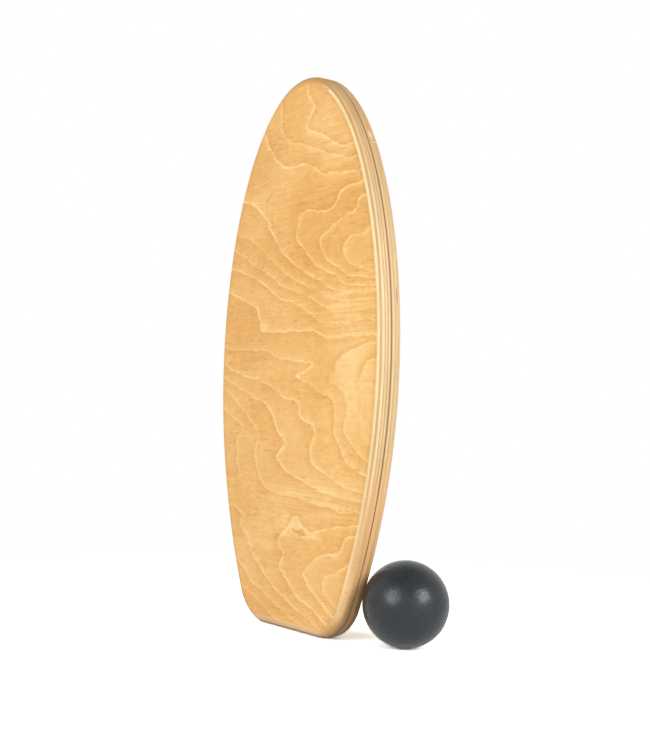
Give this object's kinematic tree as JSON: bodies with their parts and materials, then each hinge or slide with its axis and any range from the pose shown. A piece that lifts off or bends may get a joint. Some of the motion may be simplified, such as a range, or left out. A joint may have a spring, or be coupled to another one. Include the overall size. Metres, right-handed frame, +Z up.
{
  "type": "surf balance board",
  "caption": "Surf-shaped plywood balance board with a rim on its back that keeps a loose rubber ball under the rider, stood upright on its tail beside the ball.",
  "frame": {"origin": "on the floor, at the middle of the flat band of the tail's end that the board stands on", "axes": "+X across the board to the ball's side, -Y the way the rider's face of the deck looks, +Y to the rim, +Z up from tail to nose"},
  "size_m": [0.4623, 0.1301, 0.82],
  "materials": {
    "deck_wood": "clear satin lacquer on rotary-cut birch veneer",
    "rim_wood": "clear satin lacquer on birch plywood",
    "ball_rubber": "smooth matte charcoal rubber"
  },
  "bodies": {
    "board": {"deck": "deck_wood", "rim": "rim_wood"},
    "ball": {"ball": "ball_rubber"}
  },
  "joints": [
    {"name": "ball_travel", "type": "slide", "parent": "board", "child": "ball", "axis": [1, 0, 0], "range_m": [0, 0.4]}
  ]
}
